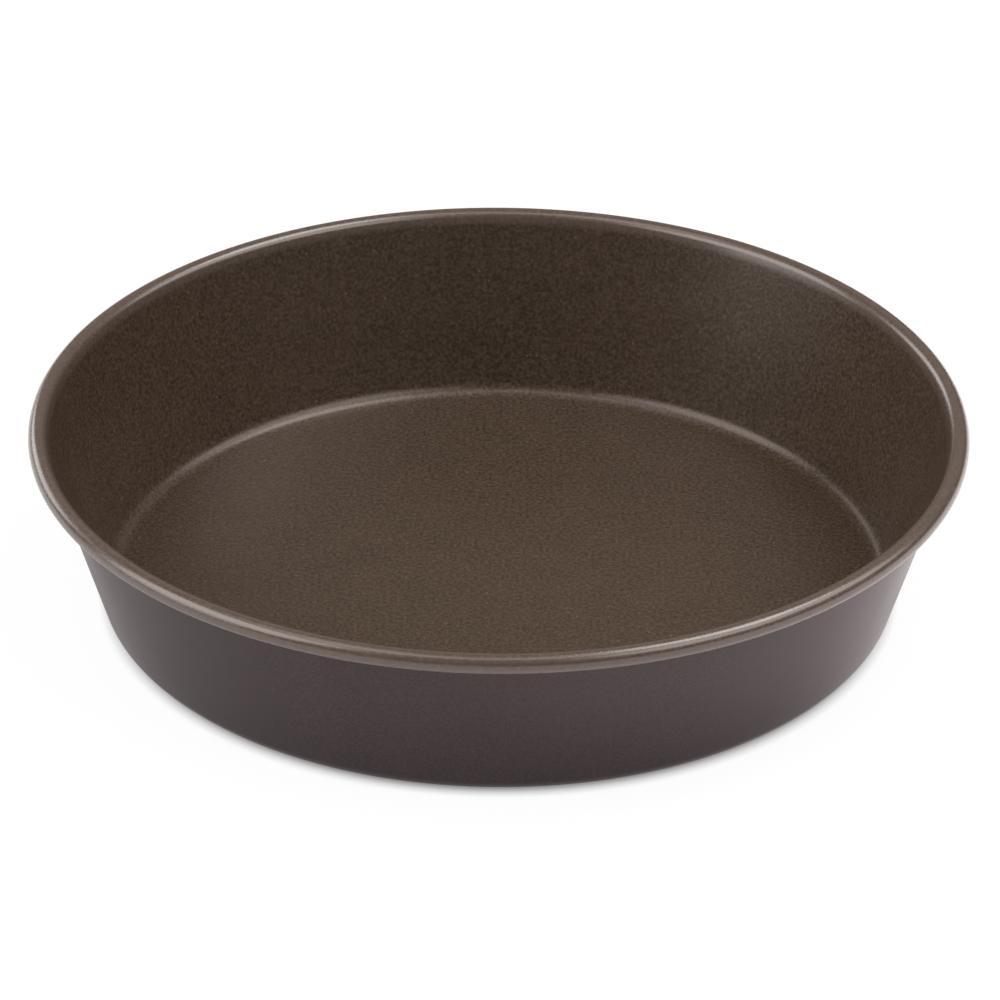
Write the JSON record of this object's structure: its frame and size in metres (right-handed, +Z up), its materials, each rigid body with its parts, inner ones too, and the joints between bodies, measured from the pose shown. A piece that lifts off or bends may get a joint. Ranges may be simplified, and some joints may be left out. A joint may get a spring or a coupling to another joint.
{
  "type": "flan pan",
  "caption": "Round flan pan of pressed sheet steel: flat base, flared wall and an outward-curled, wire-stiffened rim; holds batter or custard in the oven and nests with its like.",
  "frame": {"origin": "on the table, under the centre of the flat base", "axes": "+Z up along the pan's axis of revolution; X and Y lie in the table and are alike"},
  "size_m": [0.24, 0.24, 0.049],
  "materials": {
    "inside_coating": "warm dark-brown satin non-stick coating with fine pale flecks, on the inside and over the rim bead",
    "outside_coating": "cooler grey-brown satin coating on the outside and underside of the same sheet",
    "rim_wire": "drawn steel wire, zinc grey, hidden inside the curl of the rim"
  },
  "bodies": {
    "root": {"pan_shell": "inside_coating", "rim_wire": "rim_wire"}
  },
  "joints": []
}
